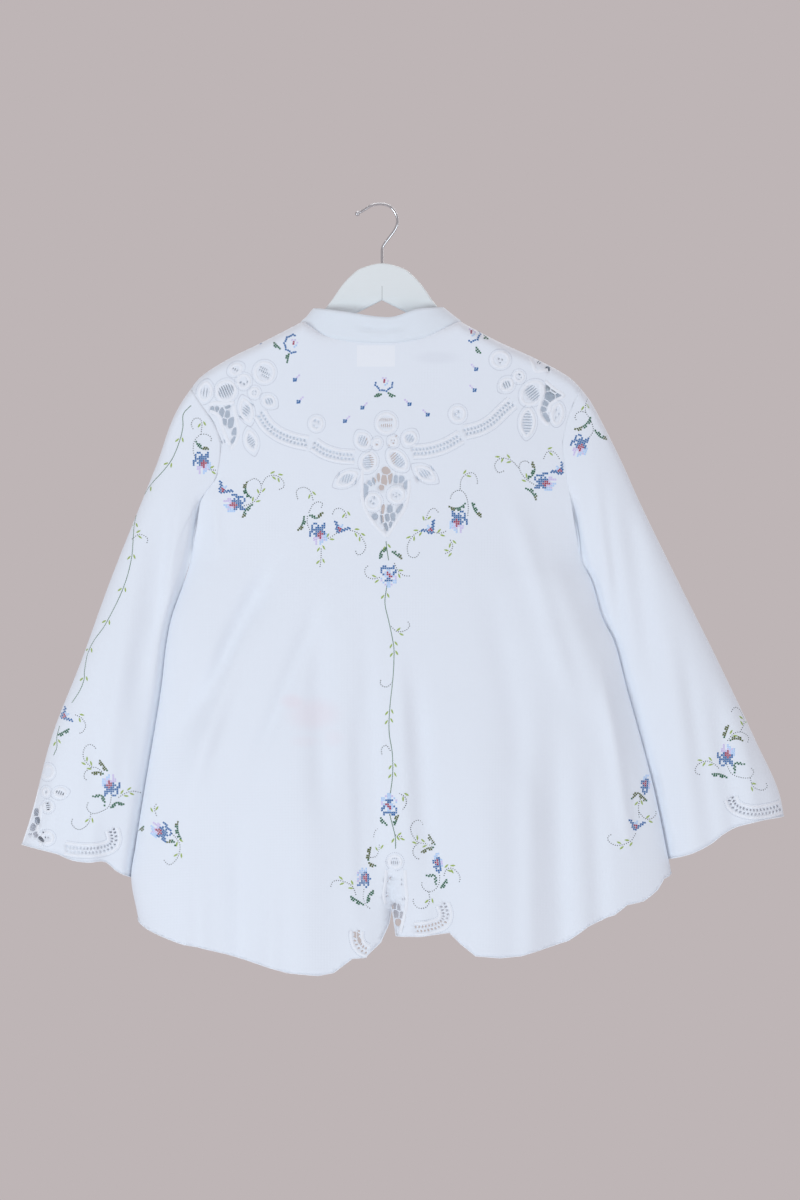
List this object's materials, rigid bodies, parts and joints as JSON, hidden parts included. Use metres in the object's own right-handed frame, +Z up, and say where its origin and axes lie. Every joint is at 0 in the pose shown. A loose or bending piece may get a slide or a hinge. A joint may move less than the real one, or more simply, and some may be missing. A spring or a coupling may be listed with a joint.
{
  "type": "tablecloth jacket on a hanger",
  "caption": "A-line cotton jacket sewn from an embroidered, lace-trimmed tablecloth, with bell sleeves and a stand collar, hanging open from a flat wooden hanger with a wire hook.",
  "frame": {"origin": "where a rail touches the inside of the hook's crown", "axes": "+Z up, the garment's back faces -Y, +X to the right of someone who looks at the back"},
  "size_m": [0.92, 0.1132, 0.9256],
  "materials": {
    "cotton": "plain-woven bleached cotton, soft and slightly worn",
    "collar_cotton": "the same cotton, doubled",
    "lace_tape": "cotton tape and braid with needle-woven bars",
    "embroidery_thread": "stranded cotton in blue, lilac, red and greens",
    "label_tape": "plain woven tape",
    "white_wood": "satin white paint",
    "chrome": "bright plated wire"
  },
  "bodies": {
    "root": {"back": "cotton", "front_left": "cotton", "front_right": "cotton", "sleeve_left_back": "cotton", "sleeve_left_front": "cotton", "sleeve_right_back": "cotton", "sleeve_right_front": "cotton", "collar": "collar_cotton", "neck_label": "label_tape", "hanger_bar": "white_wood", "hanger_hook": "chrome"}
  },
  "joints": []
}
